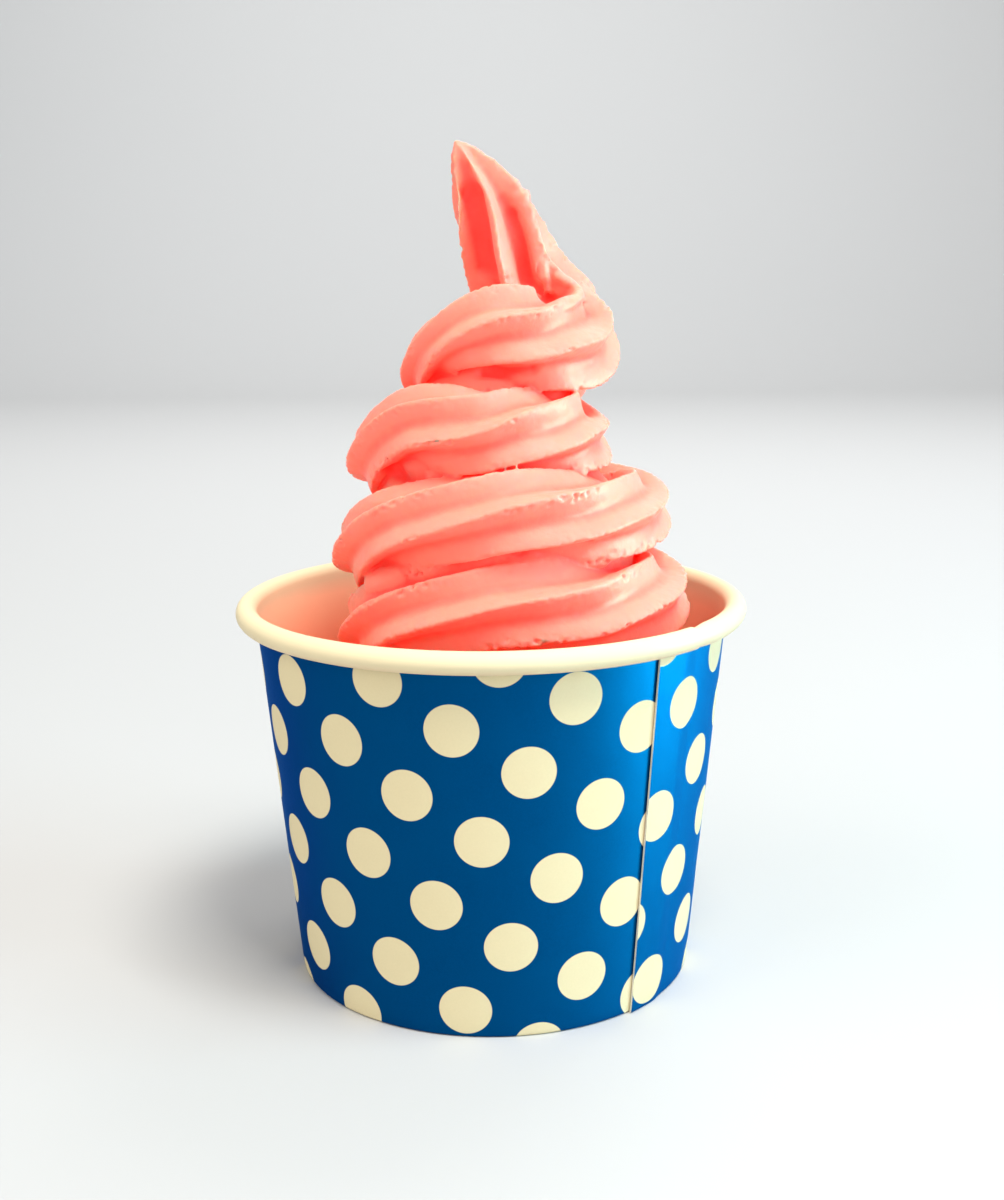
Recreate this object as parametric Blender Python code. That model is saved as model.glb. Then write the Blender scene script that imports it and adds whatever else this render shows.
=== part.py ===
"""Frozen yogurt cup: a rolled-rim paper cup filled with one piped swirl of frozen yogurt.

Blender 4.5, metres, +Z up. The cup's axis is Z, its foot stands on z = 0 and -Y is the front.
"""

import math

import bmesh
import bpy
import numpy as np

MM = 0.001

# Cup, a 12 oz paper food cup
RIM_RADIUS = 50.0 * MM  # outside of the rolled rim
BEAD = 2.1 * MM  # radius of the rolled rim's tube
BEAD_HEIGHT = 73.2 * MM  # middle of the tube
FOOT_RADIUS = 39.5 * MM
PAPER = 0.5 * MM
GAP = 0.3 * MM  # clearance between separate pieces
HEM = 6.0 * MM  # height of the wall's folded-in foot
FLOOR_TOP = 7.0 * MM
SEGMENTS = 64
BEAD_STEPS = 8

WALL_TOP_RADIUS = RIM_RADIUS - 2 * BEAD + PAPER
SLOPE = (WALL_TOP_RADIUS - FOOT_RADIUS) / BEAD_HEIGHT

# Rope of yogurt: a six-toothed star, as the nozzle presses it
TEETH = 6
TOOTH_SHARPNESS = 1.4
ROPE_RADIUS = 9.6 * MM  # to the tips of the teeth
VALLEY_RATIO = 0.68  # valley radius over tip radius
POINTS_PER_TOOTH = 4
ROPE_STEP = 2.2 * MM
FILL_HEIGHT = 46.0 * MM  # packed yogurt below the first loose coil
VOXEL = 0.9 * MM
YOGURT_TRIANGLES = 5600

# The rope's route, an eighth of a turn at a time: distance from the cup's axis and height in mm, and
# the rope's size. Each block runs from the back round by the left, the front and the right.
ROUTE_START = -630  # degrees round the axis; -90 is the front
TURNS = (
    # packed against the wall
    ((34.0, 40.0, 1.0), (34.0, 42.0, 1.0), (33.5, 44.0, 1.0), (33.0, 46.0, 1.0),
     (32.5, 48.5, 1.0), (32.0, 51.0, 1.0), (31.0, 54.0, 1.0), (30.0, 57.5, 0.95)),
    # the first turn that stands free of the wall, then the three above it
    ((28.5, 61.0, 0.9), (25.5, 64.0, 0.87), (22.5, 68.0, 0.85), (25.0, 74.5, 0.85),
     (25.5, 78.0, 0.91), (28.5, 76.5, 0.98), (30.8, 74.5, 0.96), (29.0, 76.0, 0.92)),
    ((26.5, 78.5, 0.85), (24.5, 81.0, 0.8), (23.7, 83.5, 0.79), (25.2, 91.0, 0.83),
     (25.0, 94.5, 0.9), (25.5, 93.0, 0.93), (27.5, 91.3, 0.89), (26.0, 93.0, 0.84)),
    ((24.0, 96.5, 0.8), (22.5, 99.5, 0.76), (20.7, 102.5, 0.79), (18.5, 109.3, 0.84),
     (18.5, 108.5, 0.9), (17.0, 107.5, 0.95), (15.5, 104.5, 0.9), (14.0, 108.5, 0.84)),
    ((12.0, 112.5, 0.78), (11.5, 116.0, 0.7), (11.5, 119.0, 0.61), (12.0, 124.0, 0.6),
     (11.0, 127.0, 0.87), (12.0, 125.0, 1.04), (14.5, 123.5, 1.17)),
)
# The curled peak, which the last turn rises into: x, y, z in mm, the rope's size and its twist there.
PEAK = (
    (11.8, 7.0, 126.5, 1.33, -12.0),
    (8.5, 6.0, 132.0, 1.18, -12.0),
    (5.6, 5.0, 137.0, 1.08, -12.0),
    (3.4, 3.0, 142.5, 1.0, -9.0),
    (0.2, 0.5, 151.0, 0.84, 4.0),
    (-3.9, -1.0, 158.5, 0.40, 8.0),
    (-6.3, -1.4, 161.5, 0.04, 5.0),
)
# The soft middle that the turns have sunk into: x, y, z and radius in mm.
CORE = (
    (1.0, 0.0, 40.0, 30.0),
    (1.0, 0.0, 62.0, 26.0),
    (2.0, 0.0, 77.0, 26.0),
    (2.0, 0.0, 92.0, 25.0),
    (0.0, -1.0, 101.0, 20.0),
    (-1.0, -2.0, 108.0, 17.0),
    (1.0, 0.0, 119.0, 12.0),
    (4.0, 2.0, 128.0, 8.5),
)
CORE_SIDES = 24
TWIST = -12.0  # degrees that the nozzle's teeth are turned from the front


def wall_radius(z):
    """Outside of the cup's wall."""
    return FOOT_RADIUS + SLOPE * z


def spline(rows, samples):
    """Catmull-Rom curve through the rows, with this many samples between neighbours."""
    rows = np.asarray(rows, float)
    ends = np.vstack([2 * rows[0] - rows[1], rows, 2 * rows[-1] - rows[-2]])
    t = np.arange(samples)[:, None] / samples
    pieces = []
    for a, b, c, d in zip(ends, ends[1:], ends[2:], ends[3:]):
        pieces.append(b + 0.5 * t * (c - a + t * (2 * a - 5 * b + 4 * c - d + t * (3 * (b - c) + d - a))))
    return np.vstack(pieces + [rows[-1:]])


def route():
    """The rope's middle line at even steps: points, tangents, sizes and twists."""
    rows = []
    polar = [row for turn in TURNS for row in turn]
    for number, (radius, height, size) in enumerate(polar):
        angle = math.radians(ROUTE_START + 45 * number)
        rows.append((radius * math.cos(angle), radius * math.sin(angle), height, size, TWIST))
    fine = spline(rows + list(PEAK), 24)
    fine[:, :3] *= MM
    length = np.concatenate([[0], np.cumsum(np.linalg.norm(np.diff(fine[:, :3], axis=0), axis=1))])
    steps = np.linspace(0, length[-1], round(length[-1] / ROPE_STEP) + 1)
    even = np.column_stack([np.interp(steps, length, column) for column in fine.T])
    tangents = np.gradient(even[:, :3], axis=0)
    tangents /= np.linalg.norm(tangents, axis=1, keepdims=True)
    return even[:, :3], tangents, even[:, 3], np.radians(even[:, 4])


def from_nozzle(tangents, vectors):
    """Turns each vector by the least rotation that takes +Z, the nozzle's axis, to the rope's direction."""
    upright = tangents[..., 2]
    pivot = np.stack([-tangents[..., 1], tangents[..., 0], 0 * upright], -1)
    across = np.cross(pivot, vectors)
    along = (pivot * vectors).sum(-1) / (1 + upright)
    return vectors * upright[..., None] + across + pivot * along[..., None]


def tube(name, rings):
    """A closed mesh through rings of points, each joined to the next and both ends capped."""
    count, around = rings.shape[:2]
    verts = np.vstack([rings.reshape(-1, 3), rings[0].mean(axis=0), rings[-1].mean(axis=0)])
    start, end = count * around, count * around + 1
    last = (count - 1) * around
    faces = []
    for spoke in range(around):
        following = (spoke + 1) % around
        for low in range(0, last, around):
            faces.append((low + spoke, low + following, low + around + following, low + around + spoke))
        faces.append((start, following, spoke))
        faces.append((end, last + spoke, last + following))
    mesh = bpy.data.meshes.new(name)
    mesh.from_pydata(verts.tolist(), [], faces)
    return mesh


def rope():
    """The piped rope: a star swept along the route."""
    points, tangents, sizes, twists = route()
    turn = 2 * math.pi * np.arange(TEETH * POINTS_PER_TOOTH) / (TEETH * POINTS_PER_TOOTH)
    tooth = ((1 + np.cos(TEETH * turn)) / 2) ** TOOTH_SHARPNESS
    radii = ROPE_RADIUS * (VALLEY_RATIO + (1 - VALLEY_RATIO) * tooth)
    heading = turn - math.pi / 2 + twists[:, None]
    spokes = np.stack([radii * np.cos(heading), radii * np.sin(heading), 0 * heading], -1)
    along = np.broadcast_to(tangents[:, None], spokes.shape)
    return tube("rope", points[:, None] + from_nozzle(along, spokes) * sizes[:, None, None])


def core():
    """The soft middle, where the turns have sunk together."""
    rows = spline(CORE, 6) * MM
    turn = 2 * math.pi * np.arange(CORE_SIDES) / CORE_SIDES
    circle = np.stack([np.cos(turn), np.sin(turn), 0 * turn], -1)
    return tube("core", rows[:, None, :3] + circle * rows[:, 3:, None])


def turned(name, profile):
    """A closed (radius, z) outline turned round Z; points on the axis close it there."""
    mesh = bpy.data.meshes.new(name)
    shape = bmesh.new()
    rings = []
    for radius, z in profile:
        if radius == 0:
            rings.append([shape.verts.new((0, 0, z))] * SEGMENTS)
            continue
        angles = [2 * math.pi * k / SEGMENTS for k in range(SEGMENTS)]
        rings.append([shape.verts.new((radius * math.cos(a), radius * math.sin(a), z)) for a in angles])
    for number, ring in enumerate(rings):
        other = rings[(number + 1) % len(rings)]
        for k in range(SEGMENTS):
            corners = (ring[k], ring[(k + 1) % SEGMENTS], other[(k + 1) % SEGMENTS], other[k])
            distinct = list(dict.fromkeys(corners))
            if len(distinct) > 2:
                shape.faces.new(distinct)
    bmesh.ops.recalc_face_normals(shape, faces=shape.faces)
    shape.to_mesh(mesh)
    shape.free()
    return mesh


def paint(name, colour, roughness):
    material = bpy.data.materials.new(name)
    material.use_nodes = True
    shader = material.node_tree.nodes["Principled BSDF"]
    shader.inputs["Base Color"].default_value = (*colour, 1)
    shader.inputs["Roughness"].default_value = roughness
    shader.inputs["Metallic"].default_value = 0
    return material


def add(name, mesh, material=None):
    thing = bpy.data.objects.new(name, mesh)
    bpy.context.scene.collection.objects.link(thing)
    if material:
        mesh.materials.clear()
        mesh.materials.append(material)
    return thing


def applied(thing):
    """The mesh that the object's modifiers give, which becomes its own mesh."""
    graph = bpy.context.evaluated_depsgraph_get()
    mesh = bpy.data.meshes.new_from_object(thing.evaluated_get(graph))
    thing.modifiers.clear()
    thing.data = mesh
    return mesh


def cup_wall(material):
    """Wall, rolled rim and folded-in foot: one piece of paper."""
    bead_middle = RIM_RADIUS - BEAD
    meets = math.acos((bead_middle - WALL_TOP_RADIUS) / BEAD)  # where the wall runs into the bead
    first, last = math.pi + meets, 3 * math.pi
    bead = []
    for step in range(BEAD_STEPS + 1):
        angle = first + (last - first) * step / BEAD_STEPS
        bead.append((bead_middle + BEAD * math.cos(angle), BEAD_HEIGHT + BEAD * math.sin(angle)))
    fold_inside = 2 * PAPER + 2 * GAP  # from the wall's outside to the folded ply's outside
    profile = [(FOOT_RADIUS, 0), *bead]
    profile.append((wall_radius(PAPER) - PAPER, PAPER))
    profile.append((wall_radius(PAPER) - PAPER - fold_inside, PAPER))
    profile.append((wall_radius(HEM) - PAPER - fold_inside, HEM))
    profile.append((wall_radius(HEM) - 2 * PAPER - fold_inside, HEM))
    profile.append((FOOT_RADIUS - 2 * PAPER - fold_inside, 0))
    return add("cup_wall", turned("cup_wall", profile), material)


def cup_bottom(material):
    """Floor disc, with its skirt down between the wall and the wall's folded-in foot."""
    inset = PAPER + GAP
    skirt_end = PAPER + GAP
    floor_under = FLOOR_TOP - PAPER
    profile = [
        (0, FLOOR_TOP),
        (wall_radius(FLOOR_TOP) - inset, FLOOR_TOP),
        (wall_radius(skirt_end) - inset, skirt_end),
        (wall_radius(skirt_end) - inset - PAPER, skirt_end),
        (wall_radius(floor_under) - inset - PAPER, floor_under),
        (0, floor_under),
    ]
    return add("cup_bottom", turned("cup_bottom", profile), material)


def frozen_yogurt(material):
    """The rope and the packed yogurt under it, joined into one solid and kept clear of the paper."""
    inset = PAPER + GAP
    low, high = FLOOR_TOP + GAP, 200 * MM
    past = 2 * MM
    packed = turned("packed", [(0, low - past), (wall_radius(low) + past, low - past),
                               (wall_radius(FILL_HEIGHT) + past, FILL_HEIGHT), (0, FILL_HEIGHT)])
    shape = bmesh.new()
    for piece in (rope(), core(), packed):
        shape.from_mesh(piece)
    together = bpy.data.meshes.new("together")
    shape.to_mesh(together)
    shape.free()
    yogurt = add("frozen_yogurt", together)
    merge = yogurt.modifiers.new("merge", "REMESH")
    merge.mode = "VOXEL"
    merge.voxel_size = VOXEL
    quads = len(applied(yogurt).polygons)
    thin = yogurt.modifiers.new("thin", "DECIMATE")
    thin.ratio = YOGURT_TRIANGLES / (2 * quads)
    applied(yogurt)
    space = add("cup_space", turned("cup_space", [(0, low), (wall_radius(low) - inset, low),
                                                  (wall_radius(high) - inset, high), (0, high)]))
    space.hide_render = True
    space.display_type = "WIRE"
    trim = yogurt.modifiers.new("trim", "BOOLEAN")
    trim.operation = "INTERSECT"
    trim.solver = "EXACT"
    trim.object = space
    applied(yogurt)
    yogurt.data.name = "frozen_yogurt"
    yogurt.data.materials.clear()
    yogurt.data.materials.append(material)
    return yogurt


def main():
    for thing in list(bpy.data.objects):
        bpy.data.objects.remove(thing)
    cup_wall(paint("printed_paper", (0.0, 0.12, 0.42), 0.45))
    cup_bottom(paint("white_paper", (0.9, 0.88, 0.80), 0.55))
    frozen_yogurt(paint("yogurt", (0.95, 0.32, 0.22), 0.45))


main()
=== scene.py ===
"""Looks of the frozen yogurt cup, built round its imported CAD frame. Blender 4.5, metres, +Z up, -Y the front."""

import math

import bmesh
import bpy
import numpy as np
from mathutils import Euler, Matrix, Vector, kdtree, noise


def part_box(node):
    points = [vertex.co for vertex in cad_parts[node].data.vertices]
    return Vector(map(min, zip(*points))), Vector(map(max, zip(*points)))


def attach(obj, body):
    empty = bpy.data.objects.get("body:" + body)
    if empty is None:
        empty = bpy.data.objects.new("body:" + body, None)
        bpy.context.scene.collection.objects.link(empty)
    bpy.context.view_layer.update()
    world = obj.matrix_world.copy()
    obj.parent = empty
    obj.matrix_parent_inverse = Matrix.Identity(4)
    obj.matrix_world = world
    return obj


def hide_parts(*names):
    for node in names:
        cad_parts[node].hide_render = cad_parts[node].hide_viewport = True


MM = 0.001
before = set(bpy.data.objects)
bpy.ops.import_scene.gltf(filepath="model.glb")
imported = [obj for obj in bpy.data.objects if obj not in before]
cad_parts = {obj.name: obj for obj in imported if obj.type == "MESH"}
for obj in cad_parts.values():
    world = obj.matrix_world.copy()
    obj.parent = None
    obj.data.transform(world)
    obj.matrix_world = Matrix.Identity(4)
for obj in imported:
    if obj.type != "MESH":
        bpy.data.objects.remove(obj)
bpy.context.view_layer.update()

# ---------------------------------------------------------------- cup, from the frame
WALL_LOW, WALL_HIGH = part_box("cup_wall")
FLOOR_LOW, FLOOR_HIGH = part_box("cup_bottom")
RIM_RADIUS = 50.0 * MM  # outside of the rolled rim
BEAD = 2.1 * MM  # radius of the rolled rim's tube
BEAD_HEIGHT = WALL_HIGH.z - BEAD  # middle of that tube
FOOT_RADIUS = 39.5 * MM
PLY = 0.42 * MM  # thickness of the paper
HEM = 6.0 * MM  # height of the wall's folded-in foot
FLOOR_TOP = FLOOR_HIGH.z
WALL_TOP_RADIUS = RIM_RADIUS - 2 * BEAD + 0.5 * MM
SLOPE = (WALL_TOP_RADIUS - FOOT_RADIUS) / BEAD_HEIGHT

# The lap seam: the sheet's first edge lies over its last
SEAM = -50.1  # degrees round the axis
LAP = 6.5 * MM
RAMP = 5.0 * MM  # over which the upper ply comes back down to the common surface
STAND_OFF = 0.14 * MM  # the raw edge springs this far off the ply under it

# Polka dots on the flat sheet: two steps of the grid, one dot's centre and the size
DOT_ACROSS = (8.47 * MM, 13.0 * MM)
DOT_ALONG = (-13.51 * MM, 7.94 * MM)
DOT_CENTRE = (-1.99 * MM, 466.5 * MM)
DOT_RADIUS = 4.9 * MM
ASKEW = (1.94 * MM, 4.32 * MM)  # how far the grid has crept when it comes back to the seam

# ---------------------------------------------------------------- yogurt, as in part.py but finer
TEETH = 6
CREST_ROUNDING = 0.06  # of half a tooth; the valleys between are round
ROPE_RADIUS = 9.6 * MM
VALLEY_RATIO = 0.67
POINTS_PER_TOOTH = 16
ROPE_STEP = 0.5 * MM
FILL_HEIGHT = 46.0 * MM
VOXEL = 0.38 * MM
ROUTE_START = -630
TURNS = (
    ((34.0, 40.0, 1.0), (34.0, 42.0, 1.0), (33.5, 44.0, 1.0), (33.0, 46.0, 1.0),
     (32.5, 48.5, 1.0), (32.0, 51.0, 1.0), (31.0, 54.0, 1.0), (30.0, 57.5, 0.95)),
    ((28.5, 61.0, 0.9), (25.5, 64.0, 0.87), (22.5, 68.0, 0.85), (25.0, 74.5, 0.85),
     (25.5, 78.0, 0.91), (28.5, 76.5, 0.98), (30.8, 74.5, 0.96), (28.0, 75.3, 0.9)),
    ((26.5, 78.5, 0.85), (24.5, 81.0, 0.8), (23.7, 83.5, 0.79), (25.2, 91.0, 0.83),
     (25.0, 94.5, 0.9), (25.5, 93.0, 0.93), (27.5, 91.3, 0.89), (25.2, 92.3, 0.82)),
    ((24.0, 96.5, 0.8), (22.5, 99.5, 0.76), (20.5, 102.2, 0.8), (18.5, 109.3, 0.84),
     (18.5, 108.5, 0.9), (17.0, 107.5, 0.95), (15.5, 104.5, 0.9), (14.0, 108.5, 0.84)),
    ((12.0, 112.5, 0.78), (11.5, 116.0, 0.7), (11.5, 119.0, 0.61), (12.0, 124.0, 0.6),
     (11.0, 127.0, 0.87), (12.0, 125.0, 1.04), (14.5, 123.5, 1.17)),
)
# The curled peak, which the last turn rises into: x, y, z in mm, size, twist and valley ratio.
PEAK = (
    (11.8, 7.0, 126.5, 1.33, -12.0, 0.66),
    (8.5, 6.0, 132.0, 1.18, -12.0, 0.60),
    (5.6, 5.0, 137.0, 1.06, -12.0, 0.56),
    (3.2, 3.0, 142.5, 0.97, -9.0, 0.54),
    (-0.1, 0.5, 151.0, 0.79, 4.0, 0.56),
    (-3.9, -1.0, 158.2, 0.36, 8.0, 0.62),
    (-5.7, -1.4, 161.3, 0.04, 5.0, 0.70),
)
CORE = (
    (1.0, 0.0, 40.0, 30.0),
    (1.0, 0.0, 62.0, 26.0),
    (2.0, 0.0, 77.0, 26.0),
    (1.2, -0.8, 84.5, 26.6),
    (2.0, 0.0, 92.0, 25.0),
    (0.0, -1.0, 101.0, 20.0),
    (-1.0, -2.0, 108.0, 17.0),
    (1.0, 0.0, 119.0, 12.0),
    (4.0, 2.0, 128.0, 8.5),
)
CORE_SIDES = 48
# Marks left by the pouring and the pulling away: depth (a bump if below 0), half width and path, in mm.
MARKS = (
    (0.9, 1.0, ((3.2, -4.0, 150.8), (4.6, -3.5, 148.2))),
    (1.4, 1.1, ((4.8, -3.2, 147.8), (6.2, -2.4, 143.5), (7.0, -1.4, 139.5), (7.4, -1.0, 135.5))),
    (-1.2, 1.2, ((6.0, -2.0, 151.0), (8.2, -1.5, 146.0), (9.2, -1.2, 141.5), (10.0, -1.5, 136.5))),
    (0.7, 1.5, ((-3.9, -3.4, 156.5), (-3.4, -4.0, 152.0))),
    (1.9, 2.2, ((-3.0, -4.0, 151.0), (-2.0, -3.0, 145.0), (-1.0, -1.0, 138.0))),
    (-0.8, 0.8, ((5.2, -2.6, 153.4), (5.4, -2.5, 153.0))),
    (-0.9, 0.8, ((6.8, -2.5, 151.4), (7.1, -2.4, 150.9))),
    (-0.8, 0.9, ((8.4, -2.3, 148.9), (8.7, -2.1, 148.3))),
    (1.5, 1.0, ((11.6, -0.8, 132.4), (12.4, -1.2, 131.8))),
    (2.2, 1.7, ((-18.0, -11.0, 100.5), (-15.8, -13.2, 99.6), (-12.0, -15.5, 100.0))),
    (-0.9, 1.3, ((-3.0, -14.0, 122.4), (3.0, -15.0, 123.0), (9.0, -14.0, 123.8))),
    (1.2, 1.0, ((-1.0, -11.8, 119.4), (3.0, -12.5, 119.2), (8.0, -12.5, 120.0))),
    (1.4, 0.6, ((-3.0, -25.0, 85.8), (3.6, -25.8, 87.5), (11.1, -27.5, 89.6), (18.0, -24.5, 90.0))),
)
SETTLED = ((18.2, 0.5, 133.0), 4.2)  # where the bend into the peak has smoothed over: middle and radius
# Soft rolls where yogurt has squeezed out or folded over: radius and path in mm.
ROLLS = (
    (2.9, ((-23.0, -12.5, 79.4), (-18.6, -17.0, 81.4), (-13.5, -19.8, 82.6))),
    (3.4, ((-15.0, -19.6, 84.6), (-9.0, -22.2, 85.6), (-3.0, -23.3, 86.6), (4.0, -23.5, 87.8))),
    (3.0, ((12.0, -21.5, 86.8), (17.6, -19.8, 86.6), (22.0, -16.5, 86.0))),
    (3.2, ((8.5, -8.5, 115.0), (12.5, -6.0, 114.6), (15.0, -2.0, 114.0))),
    (1.1, ((13.0, -12.6, 130.6), (15.6, -9.0, 131.8), (17.2, -4.0, 133.2), (16.6, -1.2, 134.8),
           (14.6, -2.0, 135.8), (12.6, -1.6, 136.8))),
    (0.5, ((10.4, -2.4, 139.5), (10.8, -2.0, 137.0), (11.4, -1.2, 134.0), (12.0, -0.6, 132.4))),
)
TWIST = -12.0


# ---------------------------------------------------------------- camera, lights and floor
def set_camera():
    """In front of the cup and a little above its rim, level to within a degree."""
    data = bpy.data.cameras.new("camera")
    data.lens = 46.2
    data.sensor_width = 36.0
    data.clip_start = 0.01
    camera = bpy.data.objects.new("camera", data)
    bpy.context.scene.collection.objects.link(camera)
    pitch, yaw, roll = 0.2133, 0.0038, -0.0097
    forward = Vector((math.sin(yaw) * math.cos(pitch), math.cos(yaw) * math.cos(pitch), -math.sin(pitch)))
    level = Vector((math.cos(yaw), -math.sin(yaw), 0))
    upright = level.cross(forward)
    right = math.cos(roll) * level + math.sin(roll) * upright
    up = math.cos(roll) * upright - math.sin(roll) * level
    turn = Matrix((right, up, -forward)).transposed()
    camera.matrix_world = Matrix.Translation((1.025 * MM, -298.75 * MM, 138.4 * MM)) @ turn.to_4x4()
    bpy.context.scene.camera = camera


def area_light(name, azimuth, elevation, distance, size, power, colour=(1, 1, 1)):
    """A soft square light aimed at the cup; azimuth counts from the camera's side, right positive."""
    data = bpy.data.lights.new(name, "AREA")
    data.size = size
    data.energy = power
    data.color = colour
    light = bpy.data.objects.new(name, data)
    bpy.context.scene.collection.objects.link(light)
    side, rise = math.radians(azimuth), math.radians(elevation)
    away = Vector((math.sin(side) * math.cos(rise), -math.cos(side) * math.cos(rise), math.sin(rise)))
    target = Vector((0, 0, 0.09))
    light.location = target + distance * away
    light.rotation_euler = (-away).to_track_quat("-Z", "Y").to_euler()
    return light


def set_lights():
    area_light("key", 34, 64, 0.9, 0.34, 10.8, (1.0, 0.97, 0.90))
    area_light("side", 75, 16, 0.9, 0.6, 8.5, (0.52, 0.78, 1.0))
    area_light("fill", -65, 30, 1.1, 0.9, 5.8, (1.0, 0.95, 0.88))
    area_light("front", 2, 6, 1.1, 0.8, 3.8, (1.0, 0.95, 0.90))
    # Seen only as a gloss on the ink and the yogurt's right flank
    sheen = area_light("sheen", 84, -2, 0.4, 0.15, 6.5, (0.30, 1.0, 0.74))
    sheen.visible_diffuse = False
    area_light("back", 150, 50, 1.1, 0.6, 4.0)
    backdrop = area_light("backdrop", 180, 60, 1.5, 1.2, 26.0)
    backdrop.rotation_euler = Euler((math.radians(62), 0, 0))
    world = bpy.data.worlds.new("studio")
    world.use_nodes = True
    world.node_tree.nodes["Background"].inputs["Color"].default_value = (0.93, 0.95, 1.0, 1)
    world.node_tree.nodes["Background"].inputs["Strength"].default_value = 0.52
    bpy.context.scene.world = world
    bpy.context.scene.view_settings.view_transform = "Standard"


def set_floor():
    """A pale floor that runs up into a backdrop in one sweep."""
    half, bend, back, top = 2.2, 0.6, 1.4, 2.4
    profile = [(-2.2, 0.0)]
    steps = 16
    for step in range(steps + 1):
        angle = 0.5 * math.pi * step / steps
        profile.append((back + bend * math.sin(angle), bend * (1 - math.cos(angle))))
    profile.append((back + bend, top))
    verts = [(x, y, z) for y, z in profile for x in (-half, half)]
    faces = [(2 * k, 2 * k + 1, 2 * k + 3, 2 * k + 2) for k in range(len(profile) - 1)]
    mesh = bpy.data.meshes.new("floor")
    mesh.from_pydata(verts, [], faces)
    mesh.shade_smooth()
    floor = bpy.data.objects.new("floor", mesh)
    bpy.context.scene.collection.objects.link(floor)
    material, nodes, links, shader = new_material("pale_floor")
    shader.inputs["Base Color"].default_value = (0.44, 0.44, 0.435, 1)
    shader.inputs["Roughness"].default_value = 0.75
    mesh.materials.append(material)


# ---------------------------------------------------------------- node helpers
def new_material(name):
    material = bpy.data.materials.new(name)
    material.use_nodes = True
    tree = material.node_tree
    return material, tree.nodes, tree.links, tree.nodes["Principled BSDF"]


def math_node(tree, operation, *values, clamp=False):
    """A Math node; each value is a number or another node's output."""
    node = tree.nodes.new("ShaderNodeMath")
    node.operation = operation
    node.use_clamp = clamp
    for socket, value in zip(node.inputs, values):
        if isinstance(value, (int, float)):
            socket.default_value = value
        else:
            tree.links.new(value, socket)
    return node.outputs[0]


def noise_node(tree, scale, detail=2.0, roughness=0.5, where="Object"):
    """Noise over the object's own coordinates, scale in features per metre."""
    place = tree.nodes.new("ShaderNodeTexCoord")
    node = tree.nodes.new("ShaderNodeTexNoise")
    node.inputs["Scale"].default_value = scale
    node.inputs["Detail"].default_value = detail
    node.inputs["Roughness"].default_value = roughness
    tree.links.new(place.outputs[where], node.inputs["Vector"])
    return node.outputs["Fac"]


def ramp_node(tree, value, stops):
    """Colour by value, through (position, colour) stops."""
    node = tree.nodes.new("ShaderNodeValToRGB")
    tree.links.new(value, node.inputs["Fac"])
    band = node.color_ramp
    while len(band.elements) < len(stops):
        band.elements.new(0.5)
    for element, (position, colour) in zip(band.elements, stops):
        element.position = position
        element.color = (*colour, 1)
    return node.outputs["Color"]


def mix_node(tree, factor, first, second, blend="MIX"):
    """Mixes two colours; each is a triple or another node's output."""
    node = tree.nodes.new("ShaderNodeMix")
    node.data_type = "RGBA"
    node.blend_type = blend
    for socket, value in ((node.inputs[0], factor), (node.inputs[6], first), (node.inputs[7], second)):
        if isinstance(value, (int, float)):
            socket.default_value = value
        elif isinstance(value, tuple):
            socket.default_value = (*value, 1)
        else:
            tree.links.new(value, socket)
    return node.outputs[2]


def bump_node(tree, height, strength, distance, normal=None):
    node = tree.nodes.new("ShaderNodeBump")
    node.inputs["Strength"].default_value = strength
    node.inputs["Distance"].default_value = distance
    tree.links.new(height, node.inputs["Height"])
    if normal:
        tree.links.new(normal, node.inputs["Normal"])
    return node.outputs["Normal"]


def attribute_node(tree, name):
    node = tree.nodes.new("ShaderNodeAttribute")
    node.attribute_name = name
    return node.outputs["Fac"]


# ---------------------------------------------------------------- paper
WHITE_BOARD = (0.65, 0.56, 0.345)
PRINT_BLUE = (0.0, 0.056, 0.180)


def paper_detail(tree, shader, gloss):
    """Board fibres and the faint unevenness of a coated sheet, for roughness and bump."""
    fibres = noise_node(tree, 2600, 3.0, 0.6)
    waves = noise_node(tree, 90, 2.0)
    rough = math_node(tree, "MULTIPLY_ADD", fibres, 0.16, gloss - 0.08)
    tree.links.new(rough, shader.inputs["Roughness"])
    fine = bump_node(tree, fibres, 0.25, 0.05 * MM)
    tree.links.new(bump_node(tree, waves, 0.5, 0.25 * MM, fine), shader.inputs["Normal"])
    shader.inputs["Specular IOR Level"].default_value = 0.04
    shader.inputs["Specular Tint"].default_value = (0.02, 0.4, 1.0, 1)
    return fibres, waves


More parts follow.
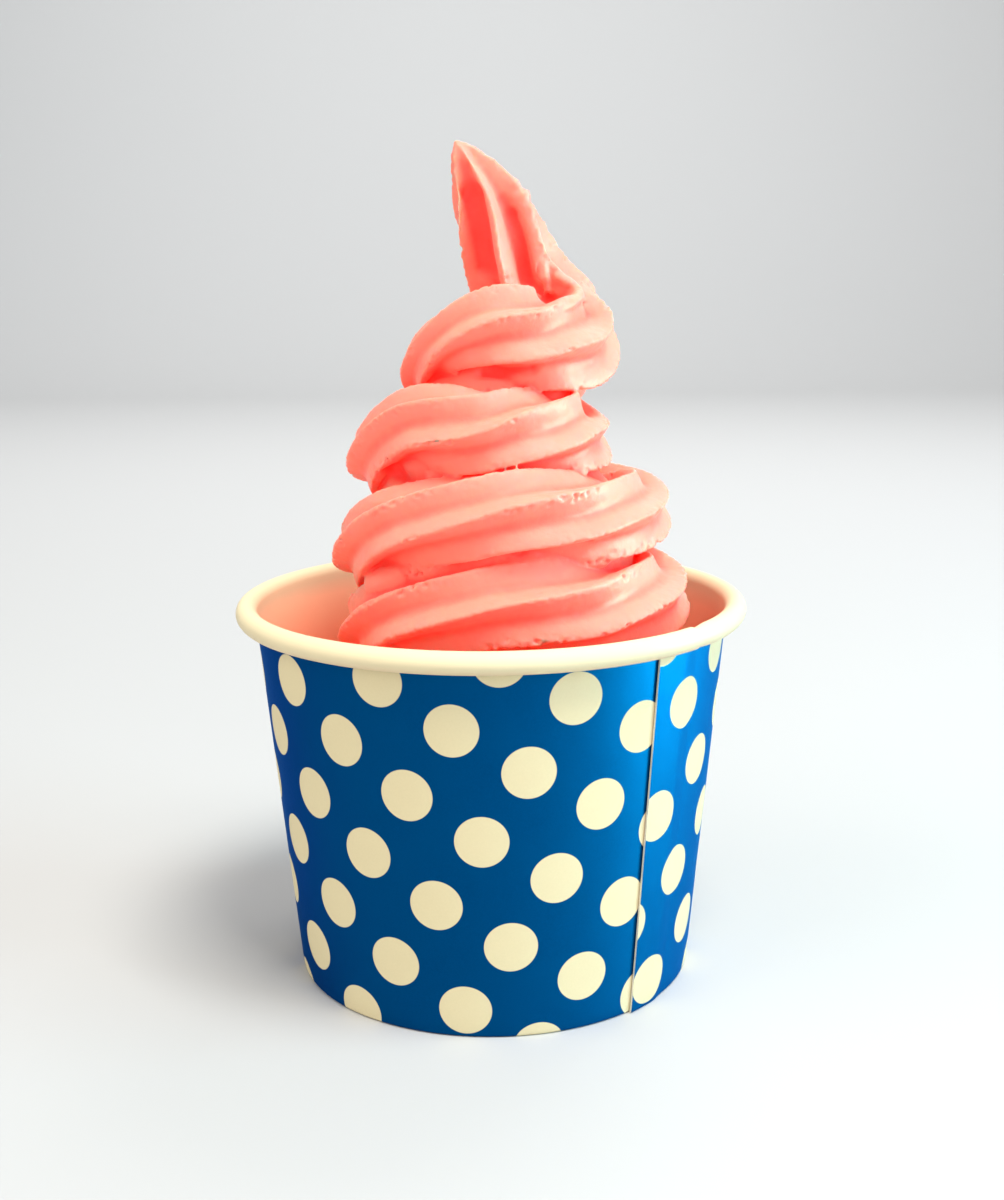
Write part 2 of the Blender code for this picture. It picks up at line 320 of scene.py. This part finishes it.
def printed_board():
    """Blue ground with cream dots, laid out on the flat sheet's own coordinates."""
    material, nodes, links, shader = new_material("printed_board")
    tree = material.node_tree
    fibres, waves = paper_detail(tree, shader, 0.50)
    place = nodes.new("ShaderNodeUVMap")
    place.uv_map = "sheet"
    split = nodes.new("ShaderNodeSeparateXYZ")
    links.new(place.outputs["UV"], split.inputs["Vector"])
    x = math_node(tree, "SUBTRACT", split.outputs["X"], DOT_CENTRE[0] / SHEET_UNIT)
    y = math_node(tree, "SUBTRACT", split.outputs["Y"], DOT_CENTRE[1] / SHEET_UNIT)
    across = np.array((DOT_ACROSS, DOT_ALONG)).T / SHEET_UNIT
    back = np.linalg.inv(across)
    rest = []
    for row in back.tolist():
        place_on_grid = math_node(tree, "ADD", math_node(tree, "MULTIPLY", x, row[0]),
                                  math_node(tree, "MULTIPLY", y, row[1]))
        nearest = math_node(tree, "ROUND", place_on_grid)
        rest.append(math_node(tree, "SUBTRACT", place_on_grid, nearest))
    off = []
    for row in across.tolist():
        off.append(math_node(tree, "ADD", math_node(tree, "MULTIPLY", rest[0], row[0]),
                             math_node(tree, "MULTIPLY", rest[1], row[1])))
    squared = math_node(tree, "ADD", math_node(tree, "MULTIPLY", off[0], off[0]),
                        math_node(tree, "MULTIPLY", off[1], off[1]))
    distance = math_node(tree, "SQRT", squared)
    edge = nodes.new("ShaderNodeMapRange")
    edge.interpolation_type = "SMOOTHSTEP"
    edge.inputs["From Min"].default_value = (DOT_RADIUS - 0.07 * MM) / SHEET_UNIT
    edge.inputs["From Max"].default_value = (DOT_RADIUS + 0.07 * MM) / SHEET_UNIT
    links.new(distance, edge.inputs["Value"])
    ink_grain = ramp_node(tree, fibres, ((0.3, tuple(c * 0.86 for c in PRINT_BLUE)),
                                         (0.7, tuple(c * 1.12 for c in PRINT_BLUE))))
    ink = mix_node(tree, waves, ink_grain, (0.0, 0.064, 0.195))
    dots = ramp_node(tree, fibres, ((0.3, tuple(c * 0.97 for c in WHITE_BOARD)), (0.7, WHITE_BOARD)))
    links.new(mix_node(tree, edge.outputs["Result"], dots, ink), shader.inputs["Base Color"])
    links.new(math_node(tree, "MULTIPLY", edge.outputs["Result"], 0.85), shader.inputs["Metallic"])
    return material


def plain_board(name="plain_board", gloss=0.40, painted_bounce=True):
    """Unprinted cream-white side of the paper."""
    material, nodes, links, shader = new_material(name)
    tree = material.node_tree
    fibres, waves = paper_detail(tree, shader, gloss)
    grain = ramp_node(tree, fibres, ((0.3, tuple(c * 0.96 for c in WHITE_BOARD)), (0.7, WHITE_BOARD)))
    tint = mix_node(tree, waves, grain, (0.66, 0.57, 0.37))
    if not painted_bounce:
        links.new(tint, shader.inputs["Base Color"])
        return material
    # Painted light: below the rim the board carries reddish light bounced from the yogurt, redder and darker
    # further down the wall; the hem under the foot has not.
    place = nodes.new("ShaderNodeTexCoord")
    split = nodes.new("ShaderNodeSeparateXYZ")
    links.new(place.outputs["Object"], split.inputs["Vector"])
    depth = nodes.new("ShaderNodeMapRange")
    depth.inputs["From Min"].default_value = 72.5 * MM
    depth.inputs["From Max"].default_value = 56.0 * MM
    links.new(split.outputs["Z"], depth.inputs["Value"])
    painted_bounce_colour = ramp_node(tree, depth.outputs["Result"], ((0.0, (0.66, 0.57, 0.37)), (0.2, (0.90, 0.57, 0.36)),
                                                      (1.0, (1.0, 0.38, 0.21))))
    above_hem = math_node(tree, "GREATER_THAN", split.outputs["Z"], FLOOR_TOP)
    links.new(mix_node(tree, math_node(tree, "MULTIPLY", above_hem, 0.9), tint, painted_bounce_colour), shader.inputs["Base Color"])
    return material


def raw_edge():
    """The cut edge of the board: bare fibre, rougher and a little darker."""
    material, nodes, links, shader = new_material("raw_edge")
    tree = material.node_tree
    fibres = noise_node(tree, 5200, 3.0, 0.7)
    links.new(ramp_node(tree, fibres, ((0.3, (0.55, 0.50, 0.38)), (0.7, (0.80, 0.75, 0.62)))),
              shader.inputs["Base Color"])
    links.new(bump_node(tree, fibres, 0.6, 0.08 * MM), shader.inputs["Normal"])
    shader.inputs["Roughness"].default_value = 0.8
    return material


SHEET_UNIT = 100 * MM  # one unit of the sheet's UV map


def wall_radius(z):
    """Outside of the cup's wall."""
    return FOOT_RADIUS + SLOPE * z


def arc(centre, radius, start, end, steps):
    """Points of an arc in the (radius, z) plane, start and end in degrees."""
    angles = np.radians(np.linspace(start, end, steps + 1))
    if np.isscalar(radius):
        radius = np.full(steps + 1, radius)
    return np.column_stack([centre[0] + radius * np.cos(angles), centre[1] + radius * np.sin(angles)])


def sheet_profile():
    """Middle of the paper from the hem's inner end round the foot, up the wall and round the curl, with
    its outward normals."""
    half = PLY / 2
    fold = 0.9 * MM  # between the wall and the hem folded in behind it
    foot = half + 0.02 * MM
    hem_radius = FOOT_RADIUS - half - fold
    hem = [(hem_radius + SLOPE * z, z) for z in np.linspace(HEM, foot + fold / 2, 5)]
    turn = arc((FOOT_RADIUS - half - fold / 2, foot + fold / 2), fold / 2, 180, 360, 8)
    wall_heights = np.linspace(foot + fold / 2, BEAD_HEIGHT, 40)[1:]
    wall = [(wall_radius(z) - half, z) for z in wall_heights]
    middle = (WALL_TOP_RADIUS - half + BEAD - half, BEAD_HEIGHT)
    steps = 30
    radii = np.linspace(1.0, 0.985, steps + 1) * (BEAD - half)
    radii[22:] *= np.linspace(1.0, 0.80, steps + 1 - 22)
    curl = arc(middle, radii, 180, -195, steps)[1:]
    points = np.vstack([hem, turn[1:], wall, curl])
    along = np.gradient(points, axis=0)
    along /= np.linalg.norm(along, axis=1, keepdims=True)
    return points, np.column_stack([along[:, 1], -along[:, 0]])


def smooth_step(low, high, value):
    t = np.clip((value - low) / (high - low), 0, 1)
    return t * t * (3 - 2 * t)


def paper_sheet():
    """The wall: one printed sheet wound round the cup and lapped on itself, hemmed in at the foot and
    rolled outwards at the rim."""
    points, normals = sheet_profile()
    lap_angle = math.degrees(LAP / wall_radius(BEAD_HEIGHT / 2))
    ramp_angle = math.degrees(RAMP / wall_radius(BEAD_HEIGHT / 2))
    start = np.linspace(0, lap_angle + ramp_angle, 33)
    rest = np.linspace(lap_angle + ramp_angle, 360 + lap_angle, 300)[1:]
    turned = np.concatenate([start, rest])
    lift = (PLY + 0.03 * MM) * (1 - smooth_step(lap_angle, lap_angle + ramp_angle, turned))
    lift += STAND_OFF * (1 - smooth_step(0, lap_angle * 0.7, turned))
    half = PLY / 2
    inside_curl = np.clip((np.arange(len(points)) - (len(points) - 26)) / 6, 0, 1)
    lift = lift[:, None] * (1 - 0.55 * inside_curl)
    faces_at = []
    for side in (half, -half):
        offset = lift + side
        radius = points[:, 0] + offset * normals[:, 0]
        height = np.maximum(points[:, 1] + offset * normals[:, 1], 0.0)
        angle = np.radians(SEAM + turned)[:, None]
        faces_at.append(np.stack([radius * np.cos(angle), radius * np.sin(angle), height], -1))
    ring = np.concatenate([faces_at[0], faces_at[1][:, ::-1]], axis=1)
    count, around = ring.shape[:2]
    verts = ring.reshape(-1, 3)
    across = len(points)
    faces, slots = [], []
    printed_from = 0
    for i in range(count - 1):
        for j in range(around):
            k = (j + 1) % around
            faces.append((i * around + j, (i + 1) * around + j, (i + 1) * around + k, i * around + k))
            slots.append(0 if printed_from <= j < across - 1 else 2 if j in (across - 1, around - 1) else 1)
    for i, flip in ((0, False), (count - 1, True)):
        for j in range(across - 1):
            quad = (i * around + j, i * around + j + 1, i * around + around - 2 - j, i * around + around - 1 - j)
            faces.append(quad[::-1] if flip else quad)
            slots.append(2)
    mesh = bpy.data.meshes.new("paper_sheet")
    mesh.from_pydata(verts.tolist(), [], faces)
    mesh.polygons.foreach_set("material_index", slots)
    # Flat coordinates of every point: the wall is part of a cone, which unrolls without stretching.
    lean = math.atan(SLOPE)
    apex = -FOOT_RADIUS / SLOPE
    run = np.concatenate([[0], np.cumsum(np.linalg.norm(np.diff(points, axis=0), axis=1))])
    foot_index = int(np.argmin(np.where(normals[:, 0] > 0.9, points[:, 1], 9)))
    slant = (points[foot_index, 1] - apex) / math.cos(lean) + run - run[foot_index]
    slant = np.concatenate([slant, slant[::-1]])
    spread = np.radians(SEAM + turned - 360 + 90) * math.sin(lean)
    flat = np.stack([slant * np.sin(spread)[:, None], slant * np.cos(spread)[:, None]], -1)
    crept = 1 - smooth_step(70, 250, turned)
    flat -= crept[:, None, None] * np.array(ASKEW)
    flat = flat.reshape(-1, 2) / SHEET_UNIT
    layer = mesh.uv_layers.new(name="sheet")
    corners = np.empty(len(mesh.loops), np.int32)
    mesh.loops.foreach_get("vertex_index", corners)
    layer.data.foreach_set("uv", flat[corners].ravel())
    for material in (printed_board(), plain_board(), raw_edge()):
        mesh.materials.append(material)
    mesh.validate()
    smooth_by_angle(mesh, 40)
    sheet = bpy.data.objects.new("paper_sheet", mesh)
    bpy.context.scene.collection.objects.link(sheet)
    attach(sheet, "root")
    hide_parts("cup_wall")
    return sheet


def smooth_by_angle(mesh, degrees):
    mesh.shade_smooth()
    mesh.set_sharp_from_angle(angle=math.radians(degrees))


def lathe(name, profile, sides):
    """A closed outline in the (radius, z) plane turned round Z; its first and last points are on the axis."""
    count = len(profile)
    verts = [(0, 0, profile[0][1]), (0, 0, profile[-1][1])]
    for side in range(sides):
        angle = 2 * math.pi * side / sides
        verts += [(r * math.cos(angle), r * math.sin(angle), z) for r, z in profile[1:-1]]
    inner = count - 2
    faces = []
    for side in range(sides):
        here, there = 2 + side * inner, 2 + (side + 1) % sides * inner
        faces.append((0, here, there))
        faces.append((1, there + inner - 1, here + inner - 1))
        for j in range(inner - 1):
            faces.append((here + j, here + j + 1, there + j + 1, there + j))
    mesh = bpy.data.meshes.new(name)
    mesh.from_pydata(verts, [], faces)
    return mesh


def cup_floor():
    """The bottom disc, its edge bent down into a skirt between the wall and the hem."""
    ply = 0.5 * MM
    gap = 0.55 * MM
    bend = 1.2 * MM
    edge = wall_radius(FLOOR_TOP) - gap
    low = 0.8 * MM
    outline = [(0, FLOOR_TOP)]
    outline += [(r, FLOOR_TOP) for r in np.linspace(4 * MM, edge - bend, 8)]
    outline += arc((edge - bend, FLOOR_TOP - bend), bend, 90, 0, 6)[1:].tolist()
    outline += [(wall_radius(low) - gap, low), (wall_radius(low) - gap - ply, low)]
    outline += arc((edge - bend, FLOOR_TOP - bend), bend - ply, 0, 90, 6).tolist()
    outline += [(4 * MM, FLOOR_TOP - ply), (0, FLOOR_TOP - ply)]
    mesh = lathe("cup_floor", outline, 128)
    mesh.materials.append(plain_board("floor_board", 0.45, painted_bounce=False))
    smooth_by_angle(mesh, 40)
    disc = bpy.data.objects.new("cup_floor", mesh)
    bpy.context.scene.collection.objects.link(disc)
    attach(disc, "root")
    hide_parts("cup_bottom")
    return disc


# ---------------------------------------------------------------- yogurt
def spline(rows, samples):
    """Catmull-Rom curve through the rows, with this many samples between neighbours."""
    rows = np.asarray(rows, float)
    ends = np.vstack([2 * rows[0] - rows[1], rows, 2 * rows[-1] - rows[-2]])
    t = np.arange(samples)[:, None] / samples
    pieces = []
    for a, b, c, d in zip(ends, ends[1:], ends[2:], ends[3:]):
        pieces.append(b + 0.5 * t * (c - a + t * (2 * a - 5 * b + 4 * c - d + t * (3 * (b - c) + d - a))))
    return np.vstack(pieces + [rows[-1:]])


def route():
    """The rope's middle line at even steps: points, tangents, sizes, twists and valley ratios."""
    rows = []
    polar = [row for turn in TURNS for row in turn]
    for number, (radius, height, size) in enumerate(polar):
        angle = math.radians(ROUTE_START + 45 * number)
        rows.append((radius * math.cos(angle), radius * math.sin(angle), height, size, TWIST, VALLEY_RATIO))
    fine = spline(rows + list(PEAK), 40)
    fine[:, :3] *= MM
    length = np.concatenate([[0], np.cumsum(np.linalg.norm(np.diff(fine[:, :3], axis=0), axis=1))])
    steps = np.linspace(0, length[-1], round(length[-1] / ROPE_STEP) + 1)
    even = np.column_stack([np.interp(steps, length, column) for column in fine.T])
    tangents = np.gradient(even[:, :3], axis=0)
    tangents /= np.linalg.norm(tangents, axis=1, keepdims=True)
    return even[:, :3], tangents, even[:, 3], np.radians(even[:, 4]), even[:, 5]


def from_nozzle(tangents, vectors):
    """Turns each vector by the least rotation that takes +Z, the nozzle's axis, to the rope's direction."""
    upright = tangents[..., 2]
    pivot = np.stack([-tangents[..., 1], tangents[..., 0], 0 * upright], -1)
    across = np.cross(pivot, vectors)
    along = (pivot * vectors).sum(-1) / (1 + upright)
    return vectors * upright[..., None] + across + pivot * along[..., None]


def tube(name, rings):
    """A closed mesh through rings of points, each joined to the next and both ends capped."""
    count, around = rings.shape[:2]
    verts = np.vstack([rings.reshape(-1, 3), rings[0].mean(axis=0), rings[-1].mean(axis=0)])
    start, end = count * around, count * around + 1
    last = (count - 1) * around
    faces = []
    for spoke in range(around):
        following = (spoke + 1) % around
        for low in range(0, last, around):
            faces.append((low + spoke, low + following, low + around + following, low + around + spoke))
        faces.append((start, following, spoke))
        faces.append((end, last + spoke, last + following))
    mesh = bpy.data.meshes.new(name)
    mesh.from_pydata(verts.tolist(), [], faces)
    return mesh


def rope():
    """The piped rope's rings and, for each point, how high on its tooth it is: 0 valley, 1 crest."""
    points, tangents, sizes, twists, valleys = route()
    turn = 2 * math.pi * np.arange(TEETH * POINTS_PER_TOOTH) / (TEETH * POINTS_PER_TOOTH)
    from_crest = np.hypot(np.sin(TEETH * turn / 2), CREST_ROUNDING) - CREST_ROUNDING
    tooth = 1 - from_crest / from_crest.max()
    radii = ROPE_RADIUS * (valleys[:, None] + (1 - valleys[:, None]) * tooth)
    heading = turn - math.pi / 2 + twists[:, None]
    spokes = np.stack([radii * np.cos(heading), radii * np.sin(heading), 0 * heading], -1)
    along = np.broadcast_to(tangents[:, None], spokes.shape)
    rings = points[:, None] + from_nozzle(along, spokes) * sizes[:, None, None]
    return rings, np.broadcast_to(tooth, rings.shape[:2])


def core():
    """The soft middle, where the turns have sunk together."""
    rows = spline(CORE, 12) * MM
    turn = 2 * math.pi * np.arange(CORE_SIDES) / CORE_SIDES
    circle = np.stack([np.cos(turn), np.sin(turn), 0 * turn], -1)
    return rows[:, None, :3] + circle * rows[:, 3:, None]


def roll(radius, path):
    """A round-ended roll of yogurt along a path."""
    points = spline(path, 10) * MM
    tangents = np.gradient(points, axis=0)
    tangents /= np.linalg.norm(tangents, axis=1, keepdims=True)
    along = np.linspace(-1, 1, len(points))
    sizes = radius * MM * np.sqrt(np.clip(1 - along ** 4, 0.02, 1))
    turn = 2 * math.pi * np.arange(24) / 24
    spokes = np.stack([np.cos(turn), np.sin(turn), 0 * turn], -1)
    spokes = np.broadcast_to(spokes, (len(points), 24, 3))
    rings = from_nozzle(np.broadcast_to(tangents[:, None], spokes.shape), spokes)
    return points[:, None] + rings * sizes[:, None, None]


def packed():
    """Yogurt pressed into the cup below the first loose turn."""
    heights = np.array((FLOOR_TOP + 0.15 * MM, FILL_HEIGHT))
    radii = wall_radius(heights) - 0.1 * MM
    turn = 2 * math.pi * np.arange(160) / 160
    circle = np.stack([np.cos(turn), np.sin(turn), 0 * turn], -1)
    rings = circle * radii[:, None, None]
    rings[..., 2] = heights[:, None]
    return rings


def joined(name, meshes):
    """One object from several meshes."""
    verts, faces = [], []
    for mesh in meshes:
        start = len(verts)
        verts += [tuple(v.co) for v in mesh.vertices]
        faces += [tuple(start + v for v in p.vertices) for p in mesh.polygons]
    mesh = bpy.data.meshes.new(name)
    mesh.from_pydata(verts, [], faces)
    thing = bpy.data.objects.new(name, mesh)
    bpy.context.scene.collection.objects.link(thing)
    return thing


def applied(thing):
    """The mesh that the object's modifiers give, which becomes its own mesh."""
    graph = bpy.context.evaluated_depsgraph_get()
    mesh = bpy.data.meshes.new_from_object(thing.evaluated_get(graph))
    thing.modifiers.clear()
    thing.data = mesh
    return mesh


def without_voids(mesh):
    """The mesh without the skins of the air pockets shut in between the turns."""
    pairs, _ = neighbours(mesh)
    label = np.arange(len(mesh.vertices))
    while True:
        low = np.minimum(label[pairs[:, 0]], label[pairs[:, 1]])
        lower = label.copy()
        np.minimum.at(lower, pairs[:, 0], low)
        np.minimum.at(lower, pairs[:, 1], low)
        np.minimum.at(lower, label, lower)
        lower = lower[lower]
        if (lower == label).all():
            break
        label = lower
    outer = np.bincount(label).argmax()
    shape = bmesh.new()
    shape.from_mesh(mesh)
    shape.verts.ensure_lookup_table()
    inside = [shape.verts[number] for number in np.nonzero(label != outer)[0].tolist()]
    bmesh.ops.delete(shape, geom=inside, context="VERTS")
    shape.to_mesh(mesh)
    shape.free()
    mesh.update()


def points_of(mesh):
    flat = np.empty(3 * len(mesh.vertices), np.float32)
    mesh.vertices.foreach_get("co", flat)
    return flat.reshape(-1, 3).astype(float)


def normals_of(mesh):
    flat = np.empty(3 * len(mesh.vertices), np.float32)
    mesh.vertex_normals.foreach_get("vector", flat)
    return flat.reshape(-1, 3).astype(float)


def spread(values, pairs, share, passes):
    """Averages each point's value with its neighbours' over and over."""
    for _ in range(passes):
        total = values.copy()
        for column in range(values.shape[1]):
            across = np.bincount(pairs[:, 0], values[pairs[:, 1], column], len(values))
            across += np.bincount(pairs[:, 1], values[pairs[:, 0], column], len(values))
            total[:, column] += across
        values = total / share
    return values


def hollows(points, normals, pairs, share):
    """How far each point lies under the surface's local average: above 0 in a groove, below 0 on a crest."""
    near = spread(points, pairs, share, 24)
    far = spread(near, pairs, share, 90)
    groove = ((near - points) * normals).sum(axis=1)
    pit = ((far - points) * normals).sum(axis=1)
    return groove, pit


def marked(points, normals):
    """The points moved in by each of the marks, or out where it is a bump."""
    shift = np.zeros(len(points))
    for depth, half_width, path in MARKS:
        line = spline(path, 14) * MM
        reach = 3 * half_width * MM
        close = np.nonzero(((points > line.min(0) - reach) & (points < line.max(0) + reach)).all(1))[0]
        gap = np.full(len(close), reach)
        for place in line:
            gap = np.minimum(gap, np.linalg.norm(points[close] - place, axis=1))
        shift[close] -= depth * MM * np.exp(-(gap / (half_width * MM)) ** 2)
    return points + normals * shift[:, None]


def neighbours(mesh):
    """The mesh's edges as pairs of points, and one more than each point's number of edges."""
    pairs = np.empty(2 * len(mesh.edges), np.int32)
    mesh.edges.foreach_get("vertices", pairs)
    pairs = pairs.reshape(-1, 2)
    return pairs, 1.0 + np.bincount(pairs.ravel(), minlength=len(mesh.vertices))[:, None]


def soft_serve():
    rings, tooth = rope()
    rolls = [tube("roll", roll(radius, path)) for radius, path in ROLLS]
    swirl = joined("soft_serve", [tube("rope", rings), tube("core", core()), tube("packed", packed()), *rolls])
    merge = swirl.modifiers.new("merge", "REMESH")
    merge.mode = "VOXEL"
    merge.voxel_size = VOXEL
    mesh = applied(swirl)
    without_voids(mesh)
    points, normals = points_of(mesh), normals_of(mesh)
    # How high on its tooth each point is, from the nearest point of the rope.
    tree = kdtree.KDTree(rings.shape[0] * rings.shape[1])
    for number, place in enumerate(rings.reshape(-1, 3).tolist()):
        tree.insert(place, number)
    tree.balance()
    nearest = [tree.find(place) for place in points.tolist()]
    crest = tooth.ravel()[[found[1] for found in nearest]]
    away = np.array([found[2] for found in nearest])
    crest = np.where(away > 1.2 * MM, 0.0, crest)
    pairs, share = neighbours(mesh)
    settled = np.exp(-(np.linalg.norm(points / MM - SETTLED[0], axis=1) / SETTLED[1]) ** 4)[:, None]
    points += settled * (spread(points, pairs, share, 60) - points)
    _, pit = hollows(points, normals, pairs, share)
    free = 1 - smooth_step(0.1 * MM, 0.9 * MM, pit)
    relief = np.empty(len(points))
    for number, place in enumerate(points.tolist()):
        spot = Vector(place)
        soft = noise.noise(spot * 160) * 0.16
        fine = noise.noise(spot * 620) * 0.05
        lip = max(0.0, crest[number] - 0.5) * 2 * free[number]
        where = max(0.0, noise.noise(spot * 110 + Vector((3, 0, 0))) + 0.2)
        under = 1.0 if normals[number, 2] < 0.35 else 0.35
        torn = min(0.0, noise.noise(spot * 950) + 0.05) * 3.4 * lip * where * under
        relief[number] = soft + fine + torn + noise.noise(spot * 1100) * 0.1 * lip
    points += normals * relief[:, None] * MM
    points = marked(points, normals)
    # Pressed against the paper, never through it.
    inner = wall_radius(points[:, 2]) - PLY - 0.02 * MM
    out = np.hypot(points[:, 0], points[:, 1])
    below = points[:, 2] < BEAD_HEIGHT
    squeeze = np.where(below & (out > inner), inner / np.maximum(out, 1e-9), 1.0)
    points[:, :2] *= squeeze[:, None]
    # Tight creases close up softly.
    creased = smooth_step(0.7 * MM, 1.5 * MM, hollows(points, normals, pairs, share)[1])[:, None]
    points += creased * (spread(points, pairs, share, 10) - points)
    mesh.vertices.foreach_set("co", points.ravel())
    mesh.update()
    # Mask for painted shade: high deep in the grooves and in the pockets between turns, low on the crests.
    groove, pit = hollows(points, normals_of(mesh), pairs, share)
    painted_groove_shade = smooth_step(-0.9 * MM, 1.5 * MM, pit + 0.6 * groove)
    layer = mesh.attributes.new("painted_groove_shade", "FLOAT", "POINT")
    layer.data.foreach_set("value", painted_groove_shade)
    mesh.materials.clear()
    mesh.materials.append(yogurt_material())
    mesh.shade_smooth()
    mesh.update()
    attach(swirl, "root")
    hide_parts("frozen_yogurt")
    return swirl


def yogurt_material():
    material, nodes, links, shader = new_material("frozen_yogurt_coral")
    tree = material.node_tree
    painted_groove_shade = attribute_node(tree, "painted_groove_shade")
    cloud = noise_node(tree, 130, 3.0)
    fine = noise_node(tree, 1500, 4.0, 0.6)
    # Painted shade: the colour turns darker and deeper red towards the grooves and pockets, and lighter on the
    # crests.
    body = ramp_node(tree, painted_groove_shade, ((0.0, (1.0, 0.265, 0.195)), (0.4, (1.0, 0.25, 0.178)),
                                    (0.7, (1.0, 0.165, 0.115)), (1.0, (1.0, 0.05, 0.037))))
    pale = mix_node(tree, math_node(tree, "MULTIPLY", cloud, 0.2), body, (1.0, 0.30, 0.23))
    links.new(pale, shader.inputs["Base Color"])
    rough = math_node(tree, "MULTIPLY_ADD", fine, 0.18, 0.42)
    links.new(rough, shader.inputs["Roughness"])
    grain = bump_node(tree, fine, 0.35, 0.12 * MM)
    links.new(bump_node(tree, noise_node(tree, 420, 3.0, 0.55), 0.5, 0.25 * MM, grain), shader.inputs["Normal"])
    shader.subsurface_method = "RANDOM_WALK"
    shader.inputs["Subsurface Weight"].default_value = 1.0
    shader.inputs["Subsurface Radius"].default_value = (1.0, 0.08, 0.05)
    shader.inputs["Subsurface Scale"].default_value = 12.0 * MM
    shader.inputs["Specular IOR Level"].default_value = 0.25
    return material


def main():
    set_camera()
    set_lights()
    set_floor()
    paper_sheet()
    cup_floor()
    soft_serve()


main()
